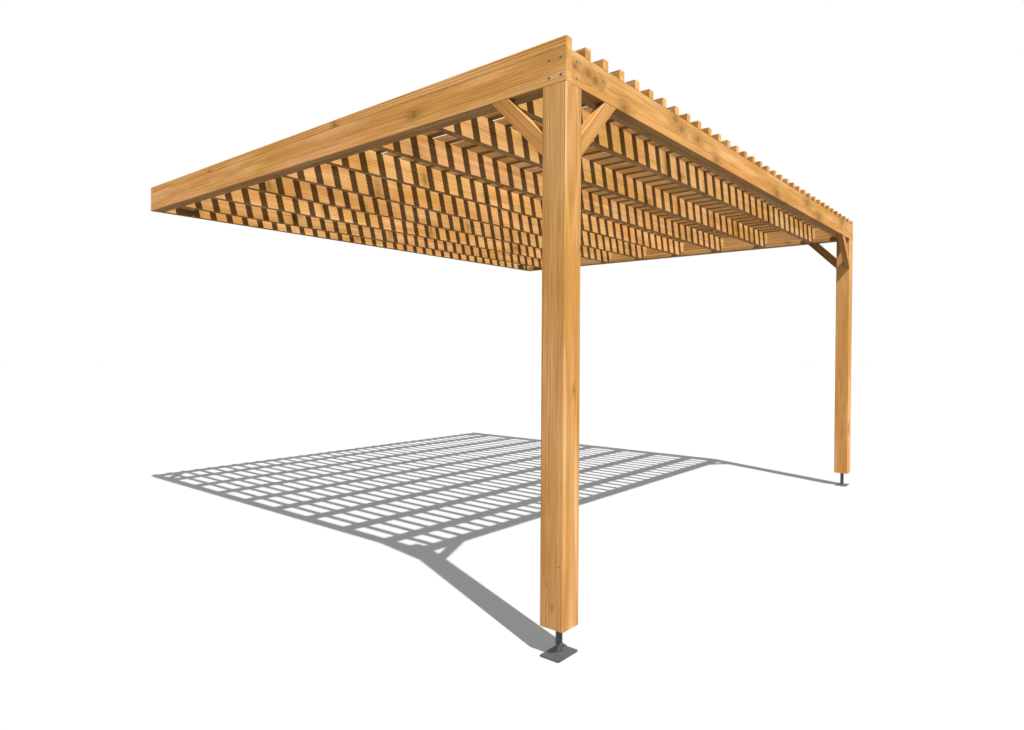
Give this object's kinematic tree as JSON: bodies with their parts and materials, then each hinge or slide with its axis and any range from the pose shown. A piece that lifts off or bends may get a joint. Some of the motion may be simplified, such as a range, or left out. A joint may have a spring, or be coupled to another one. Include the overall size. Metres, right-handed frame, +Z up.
{
  "type": "wall-mounted lean-to wooden pergola",
  "caption": "Open lean-to pergola: two timber posts on steel feet and a wall ledger carry beams, joists on low bearers and a roof of close-set slats, stiffened by short corner braces.",
  "frame": {"origin": "centre of the wall ledger's back face, which lies on the wall", "axes": "+X along the wall, to the right as seen from the front; +Y into the wall; +Z up; the ground is 2.5025 m below the origin"},
  "size_m": [5.03, 4.05, 2.62],
  "materials": {
    "post_timber": "planed softwood, warm honey oil",
    "beam_timber": "planed softwood, warm honey oil",
    "joist_timber": "planed softwood, warm honey oil",
    "brace_timber": "planed softwood, warm honey oil",
    "slat_timber": "planed softwood, warm honey oil",
    "foot_steel": "dull dark grey coated steel"
  },
  "bodies": {
    "root": {"left_post": "post_timber", "right_post": "post_timber", "left_foot_plate": "foot_steel", "right_foot_plate": "foot_steel", "left_foot_stem": "foot_steel", "right_foot_stem": "foot_steel", "left_side_beam": "beam_timber", "right_side_beam": "beam_timber", "front_beam": "beam_timber", "wall_ledger": "beam_timber", "left_side_bearer": "beam_timber", "right_side_bearer": "beam_timber", "front_bearer": "beam_timber", "joist_1": "joist_timber", "joist_2": "joist_timber", "joist_3": "joist_timber", "joist_4": "joist_timber", "joist_5": "joist_timber", "joist_6": "joist_timber", "joist_7": "joist_timber", "joist_8": "joist_timber", "left_front_knee_brace": "brace_timber", "right_front_knee_brace": "brace_timber", "left_side_knee_brace": "brace_timber", "right_side_knee_brace": "brace_timber", "left_wall_corner_brace": "brace_timber", "right_wall_corner_brace": "brace_timber", "roof_slats_1": "slat_timber", "roof_slats_2": "slat_timber", "roof_slats_3": "slat_timber", "roof_slats_4": "slat_timber", "roof_slats_5": "slat_timber", "roof_slats_6": "slat_timber", "roof_slats_7": "slat_timber"}
  },
  "joints": []
}
